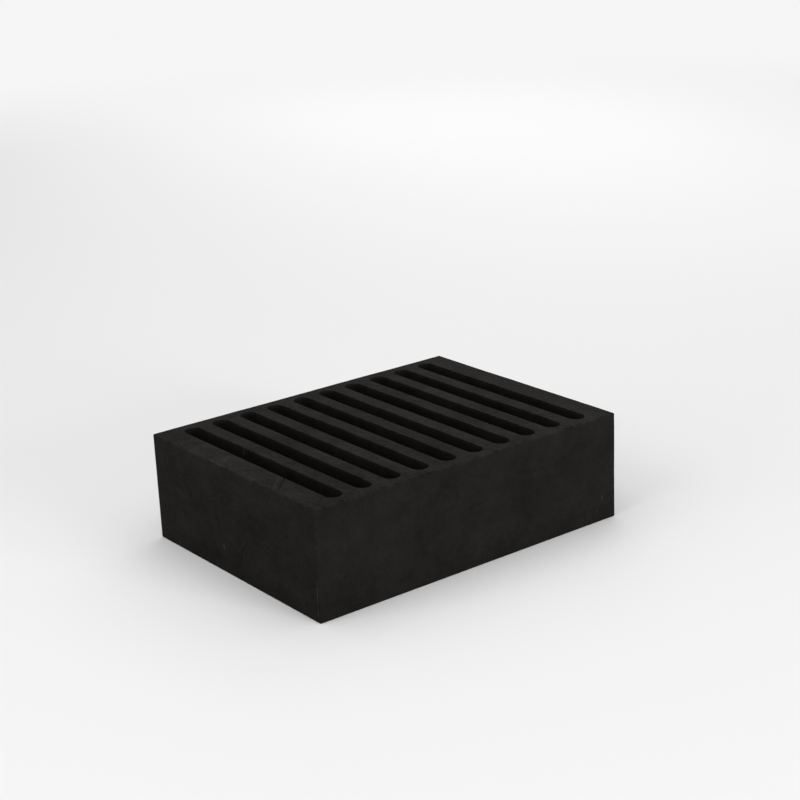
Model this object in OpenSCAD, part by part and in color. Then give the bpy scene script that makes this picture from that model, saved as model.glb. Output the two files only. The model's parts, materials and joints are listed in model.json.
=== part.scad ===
// Plate rack: a low block of firm closed-cell foam with a row of deep, round-ended slots.
// Each slot holds one plate standing on its edge.
// Origin: middle of the underside. +X runs along the row of slots, +Y along each slot, +Z up.

/* [Slots] */
// Number of slots in the row
slot_count = 10; // [1:1:16]
// Width of a slot between its two long walls
slot_w = 16; // [10:0.5:24]
// Length of a slot from one round end to the other
slot_len = 230; // [160:1:320]
// Thickness of the foam rib between two neighbouring slots
rib_w = 14; // [8:0.5:30]
// How far a slot's mouth opens outwards on every side where it meets the top face
mouth_ease = 0.5; // [0.2:0.1:2]

/* [Walls] */
// Foam beyond the first and the last slot, at each short end of the block
end_wall = 23.5; // [12:0.5:60]
// Foam beyond a slot's round end, along each long side of the block
side_wall = 10; // [6:0.5:40]

/* [Sheets] */
// Thickness of the plain sheet that closes the slots from below
base_t = 15; // [8:1:40]
// Thickness of the lower slotted sheet
lower_t = 35; // [15:1:60]
// Thickness of the upper slotted sheet
upper_t = 50; // [15:1:80]

/* [Edges] */
// Radius of the four upright corner edges
corner_r = 1.5; // [0.8:0.1:5]
// Radius of the edge round the top face
top_edge_r = 1.2; // [0.5:0.1:4]
// Radius of the edge round the underside
bottom_edge_r = 1; // [0.5:0.1:4]

/* [Hidden] */

$fn = 48;
foam_black = [0.075, 0.072, 0.07];

// What a cutter reaches past the face that it opens
reach = 1;
slot_pitch = slot_w + rib_w;
block_len = 2 * end_wall + slot_count * slot_w + (slot_count - 1) * rib_w;
block_depth = slot_len + 2 * side_wall;
block_h = base_t + lower_t + upper_t;
first_slot_x = end_wall + slot_w / 2 - block_len / 2;
// The two halves of a slot's ends turn about these points
end_centre_y = (slot_len - slot_w) / 2;

module rounded_rectangle(width, height, lower_r, upper_r) {
    // Stands on the X axis, with one radius for its lower corners and one for its upper corners
    half = width / 2;
    translate([-half, lower_r]) square([width, height - lower_r - upper_r]);
    translate([lower_r - half, 0]) square([width - 2 * lower_r, lower_r]);
    translate([upper_r - half, height - upper_r]) square([width - 2 * upper_r, upper_r]);
    for (side = [-1, 1]) {
        translate([side * (half - lower_r), lower_r]) circle(lower_r);
        translate([side * (half - upper_r), height - upper_r]) circle(upper_r);
    }
}

module upright_form(z, thickness) {
    // The block's plan, with rounded corner edges, between two heights
    translate([0, -block_depth / 2, z])
        linear_extrude(thickness)
            rounded_rectangle(block_len, block_depth, corner_r, corner_r);
}

module end_view_form() {
    // The block as seen from its short end, longer than the block
    rotate([90, 0, 90])
        linear_extrude(block_len + 2 * reach, center = true)
            rounded_rectangle(block_depth, block_h, bottom_edge_r, top_edge_r);
}

module side_view_form() {
    // The block as seen from its long side, deeper than the block
    rotate([90, 0, 0])
        linear_extrude(block_depth + 2 * reach, center = true)
            rounded_rectangle(block_len, block_h, bottom_edge_r, top_edge_r);
}

module sheet(z, thickness) {
    // One full sheet of the block, with the edges that the block has at that height
    intersection() {
        upright_form(z, thickness);
        end_view_form();
        side_view_form();
    }
}

module at_slots() {
    for (i = [0 : slot_count - 1])
        translate([first_slot_x + i * slot_pitch, 0, 0]) children();
}

module slot_shaft(z, height) {
    // The straight part of a slot: two flat walls and two half-round ends
    translate([-slot_w / 2, -end_centre_y, z]) cube([slot_w, 2 * end_centre_y, height]);
    for (side = [-1, 1])
        translate([0, side * end_centre_y, z]) cylinder(h = height, d = slot_w);
}

module slot_mouth() {
    // The eased mouth of a slot: it widens by mouth_ease over the last mouth_ease of its height
    low_r = slot_w / 2;
    high_r = low_r + mouth_ease + reach;
    rise = mouth_ease + reach;
    translate([0, 0, block_h - mouth_ease]) {
        rotate([90, 0, 0])
            linear_extrude(2 * end_centre_y, center = true)
                polygon([[-low_r, 0], [low_r, 0], [high_r, rise], [-high_r, rise]]);
        for (side = [-1, 1])
            translate([0, side * end_centre_y, 0]) cylinder(h = rise, r1 = low_r, r2 = high_r);
    }
}

module base_sheet() {
    color(foam_black) sheet(0, base_t);
}

module lower_slotted_sheet() {
    color(foam_black)
        difference() {
            sheet(base_t, lower_t);
            at_slots() slot_shaft(base_t - reach, lower_t + 2 * reach);
        }
}

module upper_slotted_sheet() {
    color(foam_black)
        difference() {
            sheet(base_t + lower_t, upper_t);
            at_slots() {
                slot_shaft(base_t + lower_t - reach, upper_t + 2 * reach);
                slot_mouth();
            }
        }
}

base_sheet();
lower_slotted_sheet();
upper_slotted_sheet();
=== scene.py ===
"""Plate rack: a black foam block of three welded sheets with a row of round-ended slots.

Every length is in metres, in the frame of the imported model: +X runs along the row of slots, +Y along each
slot, +Z up, and the origin is in the middle of the underside.
"""

import json
import logging
import math
from dataclasses import dataclass, field
from enum import Enum
from functools import reduce
from typing import Callable, Optional, Union

import bpy
from mathutils import Matrix, Vector

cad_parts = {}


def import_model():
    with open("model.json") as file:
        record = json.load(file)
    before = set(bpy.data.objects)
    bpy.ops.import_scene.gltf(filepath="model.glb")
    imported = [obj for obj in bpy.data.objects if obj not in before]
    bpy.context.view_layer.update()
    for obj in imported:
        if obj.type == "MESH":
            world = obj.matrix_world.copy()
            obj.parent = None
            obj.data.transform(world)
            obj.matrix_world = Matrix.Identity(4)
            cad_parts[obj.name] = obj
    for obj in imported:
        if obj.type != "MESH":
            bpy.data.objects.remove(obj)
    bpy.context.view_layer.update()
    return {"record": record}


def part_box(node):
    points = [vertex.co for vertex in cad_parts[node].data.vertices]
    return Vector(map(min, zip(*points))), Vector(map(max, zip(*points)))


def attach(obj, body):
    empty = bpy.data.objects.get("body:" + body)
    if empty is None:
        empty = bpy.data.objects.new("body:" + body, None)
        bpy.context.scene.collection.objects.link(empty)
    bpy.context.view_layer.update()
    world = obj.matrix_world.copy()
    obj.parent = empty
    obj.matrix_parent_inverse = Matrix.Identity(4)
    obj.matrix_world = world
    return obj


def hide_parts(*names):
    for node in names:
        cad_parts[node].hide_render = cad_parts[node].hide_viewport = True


LOG = logging.getLogger("plate_rack")

MM = 0.001
ROOT_BODY = "root"
# Two points nearer than this count as lying at the same place.
SNAP = 0.01 * MM

EdgeTest = Callable[[Vector, Vector], bool]
Socket = bpy.types.NodeSocket
Input = Union[Socket, float, Vector]
Triple = tuple[float, float, float]
Row = tuple[Triple, Triple, float, float]


class Rim(Enum):
    """How the edge round a sheet's lower or upper face was left, with its radius and number of steps."""

    UNDERSIDE = (1.0 * MM, 5)
    TOP = (1.2 * MM, 5)
    WELD = (0.04 * MM, 1)

    @property
    def radius(self) -> float:
        """The width that the rim takes from each of the two faces that meet in it."""
        return self.value[0]

    @property
    def steps(self) -> int:
        """The number of faces across the rim."""
        return self.value[1]


class Bench:
    """The few modelling moves that every piece needs, each on one object."""

    @staticmethod
    def clear_selection() -> None:
        """Leave object mode with nothing selected."""
        if bpy.context.mode != "OBJECT":
            bpy.ops.object.mode_set(mode="OBJECT")
        bpy.ops.object.select_all(action="DESELECT")

    @staticmethod
    def pick(piece: bpy.types.Object) -> None:
        """Make a piece the only selected and the active object.

        Args:
            piece: the object to work on.
        """
        Bench.clear_selection()
        piece.select_set(True)
        bpy.context.view_layer.objects.active = piece

    @staticmethod
    def settle(piece: bpy.types.Object) -> None:
        """Move a piece's place, turn and scale into its mesh.

        Args:
            piece: the object to settle at the origin.
        """
        Bench.pick(piece)
        bpy.ops.object.transform_apply(location=True, rotation=True, scale=True)

    @staticmethod
    def slab(name: str, low: Vector, high: Vector) -> bpy.types.Object:
        """Add a plain slab that later steps shape.

        Args:
            name: the name of the new object.
            low: the slab's lowest corner.
            high: the slab's highest corner.

        Returns:
            The slab, settled at the origin.
        """
        Bench.clear_selection()
        bpy.ops.mesh.primitive_cube_add(size=1, location=(low + high) / 2, scale=high - low)
        piece = bpy.context.active_object
        piece.name = name
        Bench.settle(piece)
        return piece

    @staticmethod
    def select_edges(piece: bpy.types.Object, wanted: EdgeTest) -> None:
        """Select the edges of a mesh whose two ends pass a test, and open it in edge mode.

        Args:
            piece: the object to select on.
            wanted: takes the places of an edge's two ends.
        """
        Bench.pick(piece)
        bpy.ops.object.mode_set(mode="EDIT")
        bpy.ops.mesh.select_mode(type="EDGE")
        bpy.ops.mesh.select_all(action="DESELECT")
        bpy.ops.object.mode_set(mode="OBJECT")
        points = piece.data.vertices
        for edge in piece.data.edges:
            first, second = (points[index].co for index in edge.vertices)
            edge.select = wanted(first, second)
        bpy.ops.object.mode_set(mode="EDIT")

    @staticmethod
    def round_edges(piece: bpy.types.Object, wanted: EdgeTest, radius: float, steps: int) -> None:
        """Round the edges whose two ends pass a test.

        Args:
            piece: the object to round.
            wanted: takes the places of an edge's two ends.
            radius: the width that the rounding takes from each face.
            steps: the number of faces across the rounding.
        """
        Bench.select_edges(piece, wanted)
        bpy.ops.mesh.bevel(
            offset=radius, offset_type="OFFSET", segments=steps, affect="EDGES", clamp_overlap=False
        )
        bpy.ops.object.mode_set(mode="OBJECT")

    @staticmethod
    def apply_modifier(piece: bpy.types.Object, modifier: bpy.types.Modifier) -> None:
        """Apply one modifier of a piece.

        Args:
            piece: the object that carries the modifier.
            modifier: the modifier to apply.
        """
        Bench.pick(piece)
        bpy.ops.object.modifier_apply(modifier=modifier.name)

    @staticmethod
    def rule_lines(piece: bpy.types.Object, axis: int, places: list[float]) -> None:
        """Cut a mesh across one axis at several places, so that its faces can follow a slight unevenness.

        Args:
            piece: the object to cut.
            axis: 0, 1 or 2 for X, Y or Z.
            places: where along the axis the cuts lie.
        """
        normal = Vector((0, 0, 0))
        normal[axis] = 1
        Bench.pick(piece)
        bpy.ops.object.mode_set(mode="EDIT")
        for place in places:
            bpy.ops.mesh.select_all(action="SELECT")
            bpy.ops.mesh.bisect(plane_co=normal * place, plane_no=normal, threshold=SNAP)
        bpy.ops.object.mode_set(mode="OBJECT")


@dataclass(frozen=True)
class SlotRow:
    """The row of round-ended slots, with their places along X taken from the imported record."""

    centres: tuple[float, ...]
    width: float = 16 * MM
    length: float = 230 * MM
    mouth_ease: float = 0.5 * MM
    mouth_steps: int = 3
    end_points: int = 64

    @classmethod
    def from_record(cls, record: dict) -> "SlotRow":
        """Read where the slots lie from the openings that the record states.

        Args:
            record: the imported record.

        Returns:
            The row of slots.
        """
        middles = set()
        for opening in record["physics"]["openings"]:
            low, high = opening["box_m"]
            middles.add(round((low[0] + high[0]) / 2, 5))
        return cls(centres=tuple(sorted(middles)))

    @property
    def end_centre(self) -> float:
        """How far along Y the centre of each round end lies from the middle."""
        return (self.length - self.width) / 2

    def distance(self, point: Vector) -> float:
        """How far a point lies outside the nearest slot's walls, seen from above, negative within the slot.

        Args:
            point: the place to measure from.

        Returns:
            The distance in metres.
        """
        across = min(abs(point.x - centre) for centre in self.centres)
        along = max(abs(point.y) - self.end_centre, 0)
        return math.hypot(across, along) - self.width / 2

    def cutter(self, low_z: float, high_z: float) -> bpy.types.Object:
        """Make one object of a long prism with round ends for each slot, the shape taken out of a sheet.

        Args:
            low_z: the height of the prisms' lower ends.
            high_z: the height of their upper ends.

        Returns:
            The joined prisms.
        """
        half_step = math.pi / self.end_points
        # The straight walls start at the middle of a step, where the polygon is narrowest.
        radius = self.width / 2 / math.cos(half_step)
        Bench.clear_selection()
        bpy.ops.mesh.primitive_cylinder_add(
            vertices=self.end_points,
            radius=radius,
            depth=high_z - low_z,
            location=(self.centres[0], -self.end_centre, (low_z + high_z) / 2),
            rotation=(0, 0, half_step),
        )
        first = bpy.context.active_object
        first.name = "slot_cutter"
        Bench.settle(first)
        # Half of the cylinder is drawn along the slot to its other end.
        Bench.select_edges(first, lambda one, two: min(one.y, two.y) > -self.end_centre)
        bpy.ops.transform.translate(value=(0, 2 * self.end_centre, 0))
        bpy.ops.object.mode_set(mode="OBJECT")
        prisms = [first]
        for centre in self.centres[1:]:
            prism = first.copy()
            prism.data = first.data.copy()
            bpy.context.scene.collection.objects.link(prism)
            prism.location.x = centre - self.centres[0]
            Bench.settle(prism)
            prisms.append(prism)
        Bench.clear_selection()
        for prism in prisms:
            prism.select_set(True)
        bpy.context.view_layer.objects.active = first
        bpy.ops.object.join()
        return first


@dataclass(frozen=True)
class Wave:
    """One layer of the foam's unevenness: the length of its waves, and the span of the shift they make."""

    name: str
    length: float
    span: float

    def texture(self) -> bpy.types.Texture:
        """Make the cloud pattern whose three colours are the shifts along X, Y and Z.

        Returns:
            The pattern.
        """
        clouds = bpy.data.textures.get(self.name) or bpy.data.textures.new(self.name, "CLOUDS")
        clouds.noise_scale = self.length
        clouds.noise_depth = 1
        clouds.cloud_type = "COLOR"
        clouds.noise_basis = "ORIGINAL_PERLIN"
        return clouds


@dataclass(frozen=True)
class Unevenness:
    """The slight wander of cut foam: a warp of space that all sheets share, so that they stay flush."""

    waves: tuple[Wave, ...] = (
        Wave("long_wander", 70 * MM, 0.5 * MM),
        Wave("short_wander", 17 * MM, 0.22 * MM),
    )
    flat_height: float = 4 * MM

    def bend(self, piece: bpy.types.Object) -> None:
        """Warp a sheet, but leave what lies near the table flat.

        Args:
            piece: the sheet to warp.
        """
        group = piece.vertex_groups.new(name="above_the_table")
        for vertex in piece.data.vertices:
            share = min(max(vertex.co.z / self.flat_height, 0), 1)
            group.add([vertex.index], share, "REPLACE")
        for wave in self.waves:
            warp = piece.modifiers.new(wave.name, "DISPLACE")
            warp.texture = wave.texture()
            warp.texture_coords = "LOCAL"
            warp.direction = "RGB_TO_XYZ"
            warp.strength = wave.span
            warp.mid_level = 0.5
            warp.vertex_group = group.name
            Bench.apply_modifier(piece, warp)
        piece.vertex_groups.clear()


@dataclass(frozen=True)
class Dent:
    """A shallow dent or scratch that handling has pressed into the foam along a short stroke."""

    start: Vector
    end: Vector
    half_width: float
    depth: float
    margin: float = 1.5 * MM
    cuts: int = 4

    def distance(self, point: Vector) -> float:
        """Find how far a point lies from the stroke.

        Args:
            point: the place to measure from.

        Returns:
            The distance in metres.
        """
        along = self.end - self.start
        share = (point - self.start).dot(along) / along.length_squared
        return (point - self.start - along * min(max(share, 0), 1)).length

    def press(self, piece: bpy.types.Object) -> None:
        """Divide the faces round the stroke and sink them into the foam.

        Args:
            piece: the sheet that carries the dent.
        """
        reach = self.half_width + self.margin
        Bench.pick(piece)
        bpy.ops.object.mode_set(mode="EDIT")
        bpy.ops.mesh.select_mode(type="FACE")
        bpy.ops.mesh.select_all(action="DESELECT")
        bpy.ops.object.mode_set(mode="OBJECT")
        points = piece.data.vertices
        for face in piece.data.polygons:
            size = max((points[index].co - face.center).length for index in face.vertices)
            face.select = self.distance(face.center) < reach + size / 2
        bpy.ops.object.mode_set(mode="EDIT")
        bpy.ops.mesh.subdivide(number_cuts=self.cuts)
        bpy.ops.object.mode_set(mode="OBJECT")
        group = piece.vertex_groups.new(name="dent")
        for vertex in piece.data.vertices:
            share = 1 - self.distance(vertex.co) / self.half_width
            if share > 0:
                # A smooth step, so that the dent has a round floor and a soft rim.
                group.add([vertex.index], share * share * (3 - 2 * share), "REPLACE")
        sink = piece.modifiers.new("dent", "DISPLACE")
        sink.direction = "NORMAL"
        sink.strength = -self.depth
        sink.mid_level = 0
        sink.vertex_group = group.name
        Bench.apply_modifier(piece, sink)
        piece.vertex_groups.clear()


@dataclass
class FoamSheet:
    """One sheet of the block, cut to its outline and, unless it is the base, slotted right through."""

    node: str
    lower_rim: Rim
    upper_rim: Rim
    slots: Optional[SlotRow] = None
    tone: float = 0.0
    corner_radius: float = 1.5 * MM
    corner_steps: int = 6
    line_spacing: float = 5 * MM
    sharp_angle: float = math.radians(35)
    large_face_weight: int = 80
    dents: tuple[Dent, ...] = ()
    low: Vector = field(init=False)
    high: Vector = field(init=False)

    def __post_init__(self) -> None:
        """Take the sheet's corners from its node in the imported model."""
        low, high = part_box(self.node)
        self.low, self.high = Vector(low), Vector(high)

    def build(self, unevenness: Unevenness) -> bpy.types.Object:
        """Model the sheet.

        Args:
            unevenness: the warp that all sheets share.

        Returns:
            The finished mesh object.
        """
        piece = Bench.slab(f"foam_{self.node}", self.low, self.high)
        Bench.round_edges(
            piece,
            lambda one, two: abs(one.z - two.z) > self.corner_radius,
            self.corner_radius,
            self.corner_steps,
        )
        self.round_rim(piece, self.low.z, self.lower_rim)
        self.round_rim(piece, self.high.z, self.upper_rim)
        if self.slots:
            self.cut_slots(piece)
        self.rule(piece)
        for dent in self.dents:
            dent.press(piece)
        unevenness.bend(piece)
        self.smooth(piece)
        return piece

    def round_rim(self, piece: bpy.types.Object, height: float, rim: Rim) -> None:
        """Round the outer edge of the lower or the upper face.

        Args:
            piece: the sheet.
            height: the face's height.
            rim: how the edge is left.
        """
        Bench.round_edges(
            piece,
            lambda one, two: abs(one.z - height) < SNAP and abs(two.z - height) < SNAP,
            rim.radius,
            rim.steps,
        )

    def cut_slots(self, piece: bpy.types.Object) -> None:
        """Cut the slots through the sheet and ease their edges.

        Args:
            piece: the sheet.
        """
        reach = 1 * MM
        cutter = self.slots.cutter(self.low.z - reach, self.high.z + reach)
        cut = piece.modifiers.new("slots", "BOOLEAN")
        cut.operation = "DIFFERENCE"
        cut.solver = "EXACT"
        cut.object = cutter
        Bench.apply_modifier(piece, cut)
        bpy.data.objects.remove(cutter, do_unlink=True)
        for height, rim in ((self.low.z, self.lower_rim), (self.high.z, self.upper_rim)):
            mouth = rim is Rim.TOP
            Bench.round_edges(
                piece,
                self.on_slot_edge(height),
                self.slots.mouth_ease if mouth else Rim.WELD.radius,
                self.slots.mouth_steps if mouth else Rim.WELD.steps,
            )

    def on_slot_edge(self, height: float) -> EdgeTest:
        """Make the test for the edges where the slots meet a face.

        Args:
            height: the face's height.

        Returns:
            The test.
        """
        # The cutter's round ends are polygons, so their corners lie slightly outside the true outline.
        near = 0.05 * MM

        def wanted(one: Vector, two: Vector) -> bool:
            """Whether both ends of an edge lie on a slot's outline at that height."""
            return all(
                abs(end.z - height) < near and abs(self.slots.distance(end)) < near for end in (one, two)
            )

        return wanted

    def rule(self, piece: bpy.types.Object) -> None:
        """Divide the sheet's large faces.

        Args:
            piece: the sheet.
        """
        for axis in (0, 1):
            lines = int((self.high[axis] - self.corner_radius) / self.line_spacing)
            Bench.rule_lines(piece, axis, [self.line_spacing * index for index in range(-lines, lines + 1)])
        layers = int((self.high.z - self.low.z) / self.line_spacing)
        first = self.low.z + self.line_spacing / 2
        Bench.rule_lines(piece, 2, [first + self.line_spacing * index for index in range(layers)])

    def smooth(self, piece: bpy.types.Object) -> None:
        """Shade the roundings smoothly and keep the large faces' own normals.

        Args:
            piece: the sheet.
        """
        Bench.pick(piece)
        bpy.ops.object.shade_smooth_by_angle(angle=self.sharp_angle)
        weighted = piece.modifiers.new("weighted_normals", "WEIGHTED_NORMAL")
        weighted.keep_sharp = True
        weighted.weight = self.large_face_weight
        Bench.apply_modifier(piece, weighted)


@dataclass(frozen=True)
class Reach:
    """How far a feature reaches: fully up to one distance, and gone beyond another."""

    full: float
    gone: float


class NodeBoard:
    """The shader nodes of one tree, added and wired one after the other."""

    # The sockets of a Mix node that carry colours come after those for numbers and vectors.
    FIRST_COLOUR, SECOND_COLOUR, MIXED_COLOUR = 6, 7, 2

    def __init__(self, tree: bpy.types.NodeTree) -> None:
        """Start on a node tree.

        Args:
            tree: the tree to add nodes to.
        """
        self.tree = tree

    @property
    def shader(self) -> bpy.types.ShaderNode:
        """The material's principled shader."""
        return self.tree.nodes["Principled BSDF"]

    def add(self, kind: str, **settings: object) -> bpy.types.ShaderNode:
        """Add a node and set its options.

        Args:
            kind: the node's type name.
            **settings: options of the node by name.

        Returns:
            The node.
        """
        node = self.tree.nodes.new(kind)
        for name, value in settings.items():
            setattr(node, name, value)
        return node

    def feed(self, socket: Socket, value: Input) -> None:
        """Wire a socket to another one, or set its value.

        Args:
            socket: the input to feed.
            value: a socket, a number or a vector.
        """
        if isinstance(value, Socket):
            self.tree.links.new(value, socket)
        else:
            socket.default_value = value

    def math(self, operation: str, first: Input, second: Input = 0.0, clamp: bool = False) -> Socket:
        """Add a math node.

        Args:
            operation: the operation's name.
            first: the first socket or number.
            second: the second socket or number.
            clamp: whether the result is kept between 0 and 1.

        Returns:
            The result.
        """
        node = self.add("ShaderNodeMath", operation=operation, use_clamp=clamp)
        self.feed(node.inputs[0], first)
        self.feed(node.inputs[1], second)
        return node.outputs[0]

    def total(self, parts: list[tuple[Socket, float]], start: Input = 0.0) -> Socket:
        """Add up several values, each with its own weight.

        Args:
            parts: the sockets with their weights.
            start: the number or socket to start from.

        Returns:
            The sum.
        """
        result = start
        for value, weight in parts:
            node = self.add("ShaderNodeMath", operation="MULTIPLY_ADD")
            self.feed(node.inputs[0], value)
            node.inputs[1].default_value = weight
            self.feed(node.inputs[2], result)
            result = node.outputs[0]
        return result

    def ramp(self, value: Socket, low: float, high: float, bottom: float = 0.0, top: float = 1.0) -> Socket:
        """Map a range of values smoothly onto another one.

        Args:
            value: the socket to map.
            low: the value that becomes bottom.
            high: the value that becomes top.
            bottom: the result at the low value.
            top: the result at the high value.

        Returns:
            The mapped value.
        """
        node = self.add("ShaderNodeMapRange", interpolation_type="SMOOTHSTEP")
        self.feed(node.inputs["Value"], value)
        node.inputs["From Min"].default_value = low
        node.inputs["From Max"].default_value = high
        node.inputs["To Min"].default_value = bottom
        node.inputs["To Max"].default_value = top
        return node.outputs["Result"]

    def near(self, distance: Socket, reach: Reach) -> Socket:
        """Turn a distance into a mask.

        Args:
            distance: the distance from a feature.
            reach: how far the feature reaches.

        Returns:
            1 at the feature, 0 beyond its reach.
        """
        return self.ramp(distance, reach.full, reach.gone, 1.0, 0.0)

    def least(self, *values: Socket) -> Socket:
        """Find the least of several values.

        Args:
            *values: the sockets to compare.

        Returns:
            The least of them.
        """
        return reduce(lambda one, two: self.math("MINIMUM", one, two), values)

    def most(self, *values: Socket) -> Socket:
        """Find the greatest of several values.

        Args:
            *values: the sockets to compare.

        Returns:
            The greatest of them.
        """
        return reduce(lambda one, two: self.math("MAXIMUM", one, two), values)

    def vector(self, operation: str, first: Socket, second: Optional[Socket] = None) -> bpy.types.ShaderNode:
        """Add a vector math node.

        Args:
            operation: the operation's name.
            first: the first vector.
            second: the second vector, where the operation takes two.

        Returns:
            The node.
        """
        node = self.add("ShaderNodeVectorMath", operation=operation)
        self.feed(node.inputs[0], first)
        if second is not None:
            self.feed(node.inputs[1], second)
        return node

    def shaders(self, share: Socket, first: Socket, second: Socket) -> Socket:
        """Mix two shaders.

        Args:
            share: 0 for the first shader, 1 for the second.
            first: the first shader.
            second: the second shader.

        Returns:
            The mixed shader.
        """
        node = self.add("ShaderNodeMixShader")
        for socket, value in zip(node.inputs, (share, first, second)):
            self.feed(socket, value)
        return node.outputs[0]

    def colours(self, share: Socket, first: Triple, second: Triple) -> Socket:
        """Mix two colours.

        Args:
            share: 0 for the first colour, 1 for the second.
            first: the first colour.
            second: the second colour.

        Returns:
            The mixed colour.
        """
        mix = self.add("ShaderNodeMix", data_type="RGBA")
        self.feed(mix.inputs[0], share)
        mix.inputs[self.FIRST_COLOUR].default_value = (*first, 1)
        mix.inputs[self.SECOND_COLOUR].default_value = (*second, 1)
        return mix.outputs[self.MIXED_COLOUR]

    def bump(self, height: Socket, strength: float, depth: float) -> bpy.types.ShaderNode:
        """Add a bump.

        Args:
            height: the height to read.
            strength: the bump's strength.
            depth: the depth in metres of a height of 1.

        Returns:
            The node.
        """
        node = self.add("ShaderNodeBump")
        node.inputs["Strength"].default_value = strength
        node.inputs["Distance"].default_value = depth
        self.feed(node.inputs["Height"], height)
        return node

    def cells(self, place: Socket, size: float) -> Socket:
        """Add a pattern of cut cells: 0 in the middle of each cup, rising to its wall.

        Args:
            place: the coordinate to read.
            size: the distance between cells in metres.

        Returns:
            The pattern.
        """
        node = self.add("ShaderNodeTexVoronoi", feature="F1")
        self.feed(node.inputs["Vector"], place)
        node.inputs["Scale"].default_value = 1 / size
        return node.outputs["Distance"]


@dataclass(frozen=True)
class ScuffOrHighlight:
    """A faint mark on the foam, a spot or a short stroke, paler or darker than the rest: most are left by
    handling, one is a painted highlight.
    """

    start: Vector
    end: Vector
    width: float
    tone: float

    @staticmethod
    def group() -> bpy.types.NodeTree:
        """Make the shader group that finds how near a point lies to a stroke, once.

        Returns:
            The group.
        """
        tree = bpy.data.node_groups.get("stroke")
        if tree:
            return tree
        tree = bpy.data.node_groups.new("stroke", "ShaderNodeTree")
        for name in ("Place", "Start", "Along"):
            tree.interface.new_socket(name, in_out="INPUT", socket_type="NodeSocketVector")
        for name in ("Length", "Width"):
            tree.interface.new_socket(name, in_out="INPUT", socket_type="NodeSocketFloat")
        tree.interface.new_socket("Mask", in_out="OUTPUT", socket_type="NodeSocketFloat")
        board = NodeBoard(tree)
        given = board.add("NodeGroupInput").outputs
        offset = board.vector("SUBTRACT", given["Place"], given["Start"]).outputs["Vector"]
        along = board.vector("DOT_PRODUCT", offset, given["Along"]).outputs["Value"]
        nearest = board.vector("SCALE", given["Along"])
        board.feed(nearest.inputs["Scale"], board.least(board.math("MAXIMUM", along, 0.0), given["Length"]))
        gap = board.vector("DISTANCE", offset, nearest.outputs["Vector"]).outputs["Value"]
        soft_edge = Reach(0.2, 1.0)
        mask = board.near(board.math("DIVIDE", gap, given["Width"]), soft_edge)
        board.feed(board.add("NodeGroupOutput").inputs["Mask"], mask)
        return tree

    def mask(self, board: NodeBoard, place: Socket) -> Socket:
        """Add this mark to a material.

        Args:
            board: the material's nodes.
            place: the coordinate to read.

        Returns:
            1 on the mark, 0 away from it.
        """
        node = board.add("ShaderNodeGroup", node_tree=self.group())
        along = self.end - self.start
        board.feed(node.inputs["Place"], place)
        node.inputs["Start"].default_value = self.start
        node.inputs["Along"].default_value = along.normalized()
        node.inputs["Length"].default_value = along.length
        node.inputs["Width"].default_value = self.width / 2
        return node.outputs["Mask"]


def dents(table: tuple[Row, ...]) -> tuple[Dent, ...]:
    """Turn a table in millimetres into dents.

    Args:
        table: for each dent its two ends, its half width and its depth.

    Returns:
        The dents.
    """
    return tuple(
        Dent(Vector(start) * MM, Vector(end) * MM, half_width * MM, depth * MM)
        for start, end, half_width, depth in table
    )


def lower_dents() -> tuple[Dent, ...]:
    """List the dents in the lower slotted sheet, all on its left end.

    Returns:
        The dents.
    """
    left = -166.5
    return dents((
        ((left, 16.7, 24.6), (left, 16.7, 22.8), 1.5, 0.25),
        ((left, -11.5, 24.0), (left, -11.0, 18.5), 7.0, 0.18),
        ((left, -6.0, 27.0), (left, -19.0, 39.5), 1.8, 0.10),
    ))


def upper_dents() -> tuple[Dent, ...]:
    """List the dents and scratches in the upper slotted sheet.

    Returns:
        The dents.
    """
    left, front, top = -166.5, -125.0, 100.0
    return dents((
        ((-161.5, -68.5, top), (-145.5, -52.5, top), 1.7, 0.50),
        ((-119.5, -29.7, top), (-115.5, -26.3, top), 1.6, 0.40),
        ((left, 70.0, 65.0), (left, 66.5, 60.0), 8.0, 0.16),
        ((left, 27.0, 60.0), (left, 25.0, 57.0), 7.0, 0.15),
        ((-11.0, front, 57.5), (12.5, front, 60.5), 3.5, 0.12),
        ((52.0, front, 72.0), (70.0, front, 71.0), 4.0, 0.12),
    ))


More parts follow.
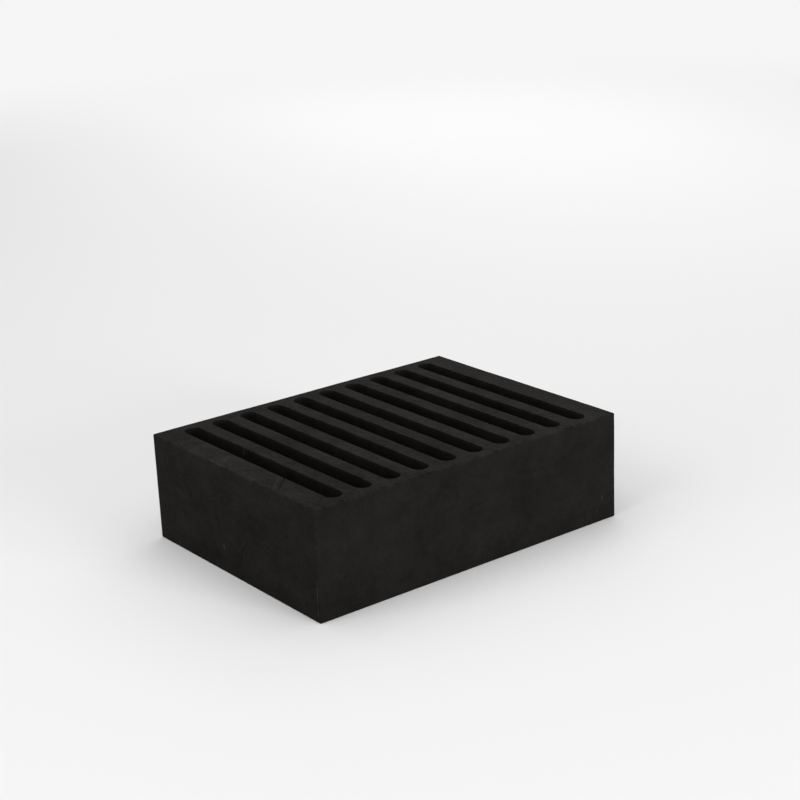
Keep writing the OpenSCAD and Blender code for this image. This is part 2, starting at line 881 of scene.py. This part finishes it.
def scuffs_and_highlight() -> tuple[ScuffOrHighlight, ...]:
    """List the marks of handling that the photograph shows, and a painted highlight, in the block's own
    millimetres.

    Returns:
        The marks on the top face, in the first slot, on the left end and on the front side.
    """
    left, front, top = -166.5, -125.0, 100.0
    # For each mark its two ends, its width and its tone.
    table: tuple[Row, ...] = (
        # Top face.
        ((-161.5, -68.5, top), (-144.5, -51.5, top), 2.8, -0.60),
        ((-164.5, -64.5, top), (-149.0, -49.0, top), 3.0, 0.30),
        ((-119.8, -29.5, top), (-114.5, -25.5, top), 2.6, -0.40),
        ((-151.0, 27.0, top), (-158.0, 20.0, top), 7.0, 0.24),
        ((-163.0, 42.0, top), (-160.0, 36.0, top), 6.0, -0.22),
        ((-91.5, -56.0, top), (-86.5, -51.0, top), 3.6, 0.28),
        ((-165.0, 30.0, top), (-165.0, -6.0, top), 3.6, 0.18),
        # Right wall of the first slot.
        ((-127.0, 35.9, 98.2), (-127.0, 37.6, 93.5), 2.6, 0.65),
        # Left end.
        ((left, 90.0, 57.0), (left, 79.0, 53.5), 10.0, 0.10),
        ((left, 70.0, 64.0), (left, 66.0, 59.0), 7.0, -0.10),
        ((left, 27.0, 54.0), (left, 24.0, 48.0), 6.5, -0.12),
        ((left, -2.0, 69.5), (left, -1.0, 62.0), 4.5, 0.14),
        ((left, 16.7, 25.3), (left, 16.7, 22.2), 2.9, 0.85),
        ((left, -6.0, 27.0), (left, -20.0, 40.5), 2.2, 0.20),
        ((left, -6.0, 27.0), (left, -2.0, 34.5), 2.0, 0.18),
        ((left, 8.0, 29.0), (left, 6.0, 24.0), 2.0, 0.14),
        ((left, -11.5, 24.0), (left, -11.0, 17.5), 6.0, -0.14),
        ((left, 52.0, 17.0), (left, 24.0, 12.0), 15.0, -0.07),
        ((left, -57.0, 50.0), (left, -60.0, 47.0), 7.0, 0.07),
        ((left, -63.0, 15.5), (left, -60.0, 13.0), 6.0, 0.09),
        # A painted highlight: a pale line down the worn front corner, near the table.
        ((left, front + 2.4, 6.0), (left, front + 2.0, 36.0), 2.4, 0.55),
        # Front side.
        ((-98.0, front, 68.0), (-76.0, front, 56.5), 2.0, 0.08),
        ((-11.0, front, 56.0), (3.0, front, 57.0), 4.4, -0.06),
        ((3.0, front, 57.0), (12.5, front, 59.5), 3.6, -0.05),
        ((50.0, front, 72.0), (70.0, front, 71.0), 5.0, -0.06),
        ((150.0, front, 23.8), (149.5, front, 20.8), 3.0, 0.34),
        ((143.5, front, 13.2), (143.5, front, 11.2), 2.2, 0.26),
        ((-151.0, front, 38.0), (-143.0, front, 35.0), 6.0, 0.07),
    )
    return tuple(
        ScuffOrHighlight(Vector(start) * MM, Vector(end) * MM, width * MM, tone) for start, end, width, tone in table
    )


@dataclass(frozen=True)
class Grain:
    """A soft noise in the foam: the size of its lumps, their finer layers, and how they are drawn out."""

    size: float
    layers: float = 2.0
    drawn: float = 1.0
    turn: float = 0.0

    def noise(self, board: NodeBoard, place: Socket) -> Socket:
        """Add the noise to a material.

        Args:
            board: the material's nodes.
            place: the coordinate to read.

        Returns:
            The noise, which swings round zero, mostly between -0.3 and 0.3.
        """
        if self.drawn != 1.0:
            mapping = board.add("ShaderNodeMapping", vector_type="TEXTURE")
            board.feed(mapping.inputs["Vector"], place)
            mapping.inputs["Rotation"].default_value = (0, 0, self.turn)
            mapping.inputs["Scale"].default_value = (1, self.drawn, 1)
            place = mapping.outputs[0]
        node = board.add("ShaderNodeTexNoise")
        board.feed(node.inputs["Vector"], place)
        node.inputs["Scale"].default_value = 1 / self.size
        node.inputs["Detail"].default_value = self.layers
        middle = 0.5
        return board.math("SUBTRACT", node.outputs["Fac"], middle)


@dataclass(frozen=True)
class Shares:
    """How much each pattern adds to the foam's shade, in which 0 is the dark tone and 1 the light one."""

    cup: float = 0.055
    fleck: float = 0.19
    mottle: float = 0.17
    patch: float = 0.13
    cloud: float = 0.24
    rubbed: float = 0.05
    edge: float = 0.13
    weld: float = -0.02
    # Painted shade: the slots' walls and floors are darkened, as little light reaches them.
    slot: float = -0.09


class FoamBoard(NodeBoard):
    """One foam material's nodes, with the places and patterns that several parts of the finish read."""

    def __init__(self, tree: bpy.types.NodeTree, finish: "FoamFinish") -> None:
        """Start on a foam material.

        Args:
            tree: the material's node tree.
            finish: the finish to lay out.
        """
        super().__init__(tree)
        self.place = self.add("ShaderNodeTexCoord").outputs["Object"]
        axes = self.add("ShaderNodeSeparateXYZ")
        self.feed(axes.inputs[0], self.place)
        high = finish.block_high
        self.height = axes.outputs["Z"]
        self.from_end = self.math("SUBTRACT", high.x, self.math("ABSOLUTE", axes.outputs["X"]))
        self.from_side = self.math("SUBTRACT", high.y, self.math("ABSOLUTE", axes.outputs["Y"]))
        self.from_top = self.math("SUBTRACT", high.z, self.height)
        self.skin = self.near(self.from_top, finish.face_reach)
        self.end = self.near(self.from_end, finish.face_reach)
        self.cup = self.cells(self.place, finish.cell_size)
        self.fleck = finish.fleck.noise(self, self.place)
        self.mottle = finish.mottle.noise(self, self.place)


@dataclass(frozen=True)
class Boost:
    """How much stronger a pattern is on the top's skin and on the ends than on the long sides."""

    skin: float
    end: float

    def strength(self, foam: FoamBoard) -> Socket:
        """Find the pattern's strength at a point.

        Args:
            foam: the material's nodes.

        Returns:
            The strength, 1 on the long sides.
        """
        return foam.total([(foam.skin, self.skin), (foam.end, self.end)], 1.0)


@dataclass(frozen=True)
class FoamFinish:
    """Near-black closed-cell foam: a closer skin on the top face, and open cut cells on every other face."""

    block_high: Vector
    weld_heights: tuple[float, ...]
    marks: tuple[ScuffOrHighlight, ...]
    # The two blacks, and where between them the plain foam lies.
    dark: Triple = (0.0064, 0.0060, 0.0054)
    light: Triple = (0.0400, 0.0375, 0.0336)
    middle: float = 0.142
    shares: Shares = Shares()
    fine_boost: Boost = Boost(2.3, 0.8)
    wide_boost: Boost = Boost(1.2, 0.2)
    # The patterns, from the smallest to the widest. Fleck, mottle and patch are drawn out along the slots.
    pore: Grain = Grain(0.3 * MM, layers=1)
    cell_size: float = 0.6 * MM
    fleck: Grain = Grain(1.6 * MM, drawn=1.8)
    drag: Grain = Grain(2.2 * MM, drawn=9.0, turn=math.radians(-45))
    mottle: Grain = Grain(6 * MM, drawn=1.8)
    patch: Grain = Grain(15 * MM, layers=1, drawn=1.8)
    cloud: Grain = Grain(40 * MM)
    # How deep a face, a slot's mouth, an edge and a weld reach.
    face_reach: Reach = Reach(0.2 * MM, 1.0 * MM)
    mouth_reach: Reach = Reach(1.0 * MM, 4.0 * MM)
    edge_reach: Reach = Reach(0.3 * MM, 2.4 * MM)
    top_edge_reach: Reach = Reach(2.0 * MM, 5.0 * MM)
    upright_edge_wear: float = 0.2
    weld_reach: Reach = Reach(0.1 * MM, 0.6 * MM)
    # How far the noises break up the rubbed streaks, the strokes and the worn edges.
    rubbed_range: tuple[float, float] = (0.14, 0.30)
    stroke_range: tuple[float, float] = (-0.18, 0.12)
    least_stroke: float = 0.35
    wear_range: tuple[float, float] = (-0.25, 0.12)
    # The gloss.
    roughness: float = 0.54
    roughness_swing: float = 0.25
    gloss: float = 0.010
    gloss_tint: Triple = (1.0, 0.98, 0.94)
    # The relief.
    cup_depth: float = 0.05 * MM
    cup_strength: float = 0.7
    pore_height: float = 0.8
    skin_relief: float = 0.6
    swell_depth: float = 0.5 * MM
    fleck_height: float = 0.45

    def material(self, sheet: FoamSheet) -> bpy.types.Material:
        """Make the foam's material for one sheet.

        Args:
            sheet: the sheet, whose tone sets it apart a little from the others.

        Returns:
            The material.
        """
        material = bpy.data.materials.new(f"foam_{sheet.node}")
        material.use_nodes = True
        foam = FoamBoard(material.node_tree, self)
        self.colour(foam, sheet.tone)
        self.sheen(foam)
        self.relief(foam)
        return material

    def colour(self, foam: FoamBoard, tone: float) -> None:
        """Mix the foam's two blacks by cell, fleck, cloud, wear, marks and the painted shade in the slots.

        Args:
            foam: the material's nodes.
            tone: the sheet's own offset.
        """
        share = self.shares
        patch = self.patch.noise(foam, foam.place)
        cloud = self.cloud.noise(foam, foam.place)
        rubbed = foam.ramp(self.drag.noise(foam, foam.place), *self.rubbed_range)
        fine = foam.total([(foam.fleck, share.fleck), (foam.mottle, share.mottle)])
        wide = foam.total([(patch, share.patch), (cloud, share.cloud)])
        shade = foam.total(
            [
                (foam.math("MULTIPLY", fine, self.fine_boost.strength(foam)), 1.0),
                (foam.math("MULTIPLY", wide, self.wide_boost.strength(foam)), 1.0),
                (foam.cup, share.cup),
                (rubbed, share.rubbed),
                (self.edge_wear(foam), share.edge),
                (self.weld_line(foam), share.weld),
                # Painted shade deep in the slots.
                (self.slot_painted_shade(foam), share.slot),
            ],
            self.middle + tone,
        )
        strokes = foam.total([(mark.mask(foam, foam.place), mark.tone) for mark in self.marks])
        broken = foam.ramp(foam.fleck, *self.stroke_range, self.least_stroke, 1.0)
        shade = foam.math("ADD", shade, foam.math("MULTIPLY", strokes, broken), clamp=True)
        foam.feed(foam.shader.inputs["Base Color"], foam.colours(shade, self.dark, self.light))

    def sheen(self, foam: FoamBoard) -> None:
        """Set how dull the foam is, unevenly from patch to patch.

        Args:
            foam: the material's nodes.
        """
        roughness = foam.total([(foam.mottle, self.roughness_swing)], self.roughness)
        foam.feed(foam.shader.inputs["Roughness"], roughness)
        foam.shader.inputs["Specular IOR Level"].default_value = self.gloss
        foam.shader.inputs["Specular Tint"].default_value = (*self.gloss_tint, 1)

    def relief(self, foam: FoamBoard) -> None:
        """Give the surface its cut cells, flatter where the skin is, and its slight swells.

        Args:
            foam: the material's nodes.
        """
        cells = foam.total([(foam.cup, 1.0), (self.pore.noise(foam, foam.place), self.pore_height)])
        cells = foam.math("MULTIPLY", cells, foam.ramp(foam.skin, 0.0, 1.0, 1.0, self.skin_relief))
        swells = foam.total([(foam.mottle, 1.0), (foam.fleck, self.fleck_height)])
        fine = foam.bump(cells, self.cup_strength, self.cup_depth)
        broad = foam.bump(swells, 1.0, self.swell_depth)
        foam.feed(broad.inputs["Normal"], fine.outputs["Normal"])
        foam.feed(foam.shader.inputs["Normal"], broad.outputs["Normal"])

    def slot_painted_shade(self, foam: FoamBoard) -> Socket:
        """Find where shade is painted into the foam: the walls and floors of the slots, the only faces that
        show deep inside the block.

        Args:
            foam: the material's nodes.

        Returns:
            1 in a slot, 0 on the block's six faces and at the slots' mouths.
        """
        deep = foam.least(foam.from_end, foam.from_side, foam.from_top, foam.height)
        return foam.ramp(deep, self.mouth_reach.full, self.mouth_reach.gone)

    def edge_wear(self, foam: FoamBoard) -> Socket:
        """Find how worn a point is because it lies on one of the block's outer edges.

        Args:
            foam: the material's nodes.

        Returns:
            1 on a worn stretch of edge, 0 a few millimetres away from it.
        """
        depths = (foam.from_end, foam.from_side, foam.from_top)
        # A point on an edge is near two faces at once, so the second least of its depths is small.
        outer = [(foam.least(*depths), -1), (foam.most(*depths), -1)]
        second = foam.total([(depth, 1) for depth in depths] + outer)
        top = self.top_edge_reach
        near_top = foam.ramp(foam.from_top, top.full, top.gone, 1.0, self.upright_edge_wear)
        near = foam.math("MULTIPLY", foam.near(second, self.edge_reach), near_top)
        return foam.math("MULTIPLY", near, foam.ramp(foam.mottle, *self.wear_range))

    def weld_line(self, foam: FoamBoard) -> Socket:
        """Find how near a point lies to the height of a weld between two sheets.

        Args:
            foam: the material's nodes.

        Returns:
            1 on a weld, 0 a fraction of a millimetre away from it.
        """
        gaps = [foam.math("ABSOLUTE", foam.math("SUBTRACT", foam.height, weld)) for weld in self.weld_heights]
        return foam.near(foam.least(*gaps), self.weld_reach)


@dataclass
class PlateRack:
    """The whole rack: its sheets, from the table up, and their finish."""

    slots: SlotRow
    unevenness: Unevenness = field(default_factory=Unevenness)

    def sheets(self) -> list[FoamSheet]:
        """List the sheets, each a shade lighter or darker than the next.

        Returns:
            The sheets from the table up.
        """
        return [
            FoamSheet("base_sheet", Rim.UNDERSIDE, Rim.WELD, tone=-0.014),
            FoamSheet("lower_slotted_sheet", Rim.WELD, Rim.WELD, self.slots, tone=0.003, dents=lower_dents()),
            FoamSheet("upper_slotted_sheet", Rim.WELD, Rim.TOP, self.slots, dents=upper_dents()),
        ]

    def build(self) -> None:
        """Model and dress every sheet, and let each stand for its node."""
        sheets = self.sheets()
        finish = FoamFinish(sheets[-1].high, tuple(sheet.low.z for sheet in sheets[1:]), scuffs_and_highlight())
        for sheet in sheets:
            piece = sheet.build(self.unevenness)
            piece.data.materials.clear()
            piece.data.materials.append(finish.material(sheet))
            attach(piece, ROOT_BODY)
            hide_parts(sheet.node)
            LOG.info("%s: %d faces", piece.name, len(piece.data.polygons))


@dataclass(frozen=True)
class Softbox:
    """One soft square lamp that faces a point in the rack or on the table."""

    name: str
    place: Triple
    aim: Triple
    size: float
    power: float

    def build(self) -> None:
        """Hang the lamp, unseen by the camera."""
        data = bpy.data.lights.new(self.name, "AREA")
        data.shape = "SQUARE"
        data.size = self.size
        data.energy = self.power
        lamp = bpy.data.objects.new(self.name, data)
        place = Vector(self.place)
        turn = (Vector(self.aim) - place).to_track_quat("-Z", "Y")
        lamp.matrix_world = Matrix.LocRotScale(place, turn, None)
        lamp.visible_camera = False
        bpy.context.scene.collection.objects.link(lamp)


@dataclass(frozen=True)
class Studio:
    """A white table that runs into a pale backdrop, a bright ceiling, and soft lamps round the rack."""

    floor_size: float = 16.0
    floor_tone: float = 0.84
    floor_roughness: float = 0.9
    zenith: float = 1.12
    horizon: float = 0.0
    background: float = 0.92
    sweep_start: float = 2.0
    sweep_end: float = 3.2
    softboxes: tuple[Softbox, ...] = (
        Softbox("front_fill", (0.4, -2.5, 0.5), (0.0, 0.0, 0.05), 0.9, 38.0),
        Softbox("left_fill", (-2.0, 0.0, 1.2), (0.0, 0.0, 0.0), 1.6, 17.0),
        Softbox("overhead", (0.0, 0.0, 1.9), (0.0, 0.0, 0.0), 1.8, 5.5),
        Softbox("far_table", (1.7, 2.2, 1.2), (1.7, 2.2, 0.0), 1.4, 8.0),
        Softbox("right_table", (1.4, 0.9, 1.2), (1.4, 0.9, 0.0), 1.2, 4.5),
    )

    def build(self) -> None:
        """Set up the table, the lamps and the room."""
        self.table()
        for softbox in self.softboxes:
            softbox.build()
        self.room()

    def table(self) -> None:
        """Lay the white table, which turns into the pale backdrop far off and is clear from below."""
        Bench.clear_selection()
        bpy.ops.mesh.primitive_plane_add(size=self.floor_size)
        floor = bpy.context.active_object
        floor.name = "table"
        material = bpy.data.materials.new("white_table")
        material.use_nodes = True
        tree = material.node_tree
        board = NodeBoard(tree)
        board.shader.inputs["Base Color"].default_value = (self.floor_tone,) * 3 + (1,)
        board.shader.inputs["Roughness"].default_value = self.floor_roughness
        board.shader.inputs["Specular IOR Level"].default_value = 0.0
        away = board.vector("LENGTH", board.add("ShaderNodeTexCoord").outputs["Object"]).outputs["Value"]
        far = board.ramp(away, self.sweep_start, self.sweep_end)
        backdrop = board.add("ShaderNodeEmission")
        backdrop.inputs["Strength"].default_value = self.background
        share = board.math("MULTIPLY", far, self.seen(board))
        above = board.shaders(share, board.shader.outputs[0], backdrop.outputs[0])
        from_below = board.add("ShaderNodeNewGeometry").outputs["Backfacing"]
        surface = board.shaders(from_below, above, board.add("ShaderNodeBsdfTransparent").outputs[0])
        board.feed(tree.nodes["Material Output"].inputs["Surface"], surface)
        floor.data.materials.append(material)

    def room(self) -> None:
        """Make the room: bright above and below, dark at eye level, evenly pale where seen or mirrored."""
        world = bpy.data.worlds.new("pale_room")
        bpy.context.scene.world = world
        world.use_nodes = True
        board = NodeBoard(world.node_tree)
        axes = board.add("ShaderNodeSeparateXYZ")
        board.feed(axes.inputs[0], board.add("ShaderNodeTexCoord").outputs["Generated"])
        light = board.add("ShaderNodeBackground")
        slope = board.math("ABSOLUTE", axes.outputs["Z"])
        board.feed(light.inputs["Strength"], board.ramp(slope, 0.0, 1.0, self.horizon, self.zenith))
        backdrop = board.add("ShaderNodeBackground")
        backdrop.inputs["Strength"].default_value = self.background
        surface = board.shaders(self.seen(board), light.outputs[0], backdrop.outputs[0])
        board.feed(world.node_tree.nodes["World Output"].inputs["Surface"], surface)

    @staticmethod
    def seen(board: NodeBoard) -> Socket:
        """Tell the rays that see the backdrop from those that only carry light.

        Args:
            board: the nodes to add to.

        Returns:
            1 for a ray of the camera, a mirror or a pane, 0 for any other.
        """
        ray = board.add("ShaderNodeLightPath").outputs
        return board.most(ray["Is Camera Ray"], ray["Is Glossy Ray"], ray["Is Transmission Ray"])


@dataclass(frozen=True)
class PhotoCamera:
    """The camera that took the photograph, found by fitting it to the block's edges."""

    azimuth: float = math.radians(-37.3035)
    elevation: float = math.radians(18.5424)
    roll: float = math.radians(-2.4781)
    distance: float = 1602.36 * MM
    aim: Triple = (25.27 * MM, 7.86 * MM, 114.3 * MM)
    lens_mm: float = 79.329
    sensor_mm: float = 36.0

    def build(self) -> None:
        """Place the camera and make it the scene's own."""
        turn, tilt = self.azimuth, self.elevation
        back = Vector((math.sin(turn) * math.cos(tilt), -math.cos(turn) * math.cos(tilt), math.sin(tilt)))
        level = Vector((math.cos(turn), math.sin(turn), 0))
        upright = back.cross(level)
        right = level * math.cos(self.roll) + upright * math.sin(self.roll)
        up = back.cross(right)
        data = bpy.data.cameras.new("photo_camera")
        data.lens = self.lens_mm
        data.sensor_width = self.sensor_mm
        camera = bpy.data.objects.new("photo_camera", data)
        place = Matrix((right, up, back)).transposed().to_4x4()
        place.translation = Vector(self.aim) + back * self.distance
        camera.matrix_world = place
        bpy.context.scene.collection.objects.link(camera)
        bpy.context.scene.camera = camera


def set_view() -> None:
    """Show colours as they are."""
    bpy.context.scene.view_settings.view_transform = "Standard"


def main() -> None:
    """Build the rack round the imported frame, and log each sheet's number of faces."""
    logging.basicConfig(level=logging.INFO, format="%(name)s: %(message)s")
    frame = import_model()
    set_view()
    PhotoCamera().build()
    Studio().build()
    PlateRack(SlotRow.from_record(frame["record"])).build()


if __name__ == "__main__":
    main()
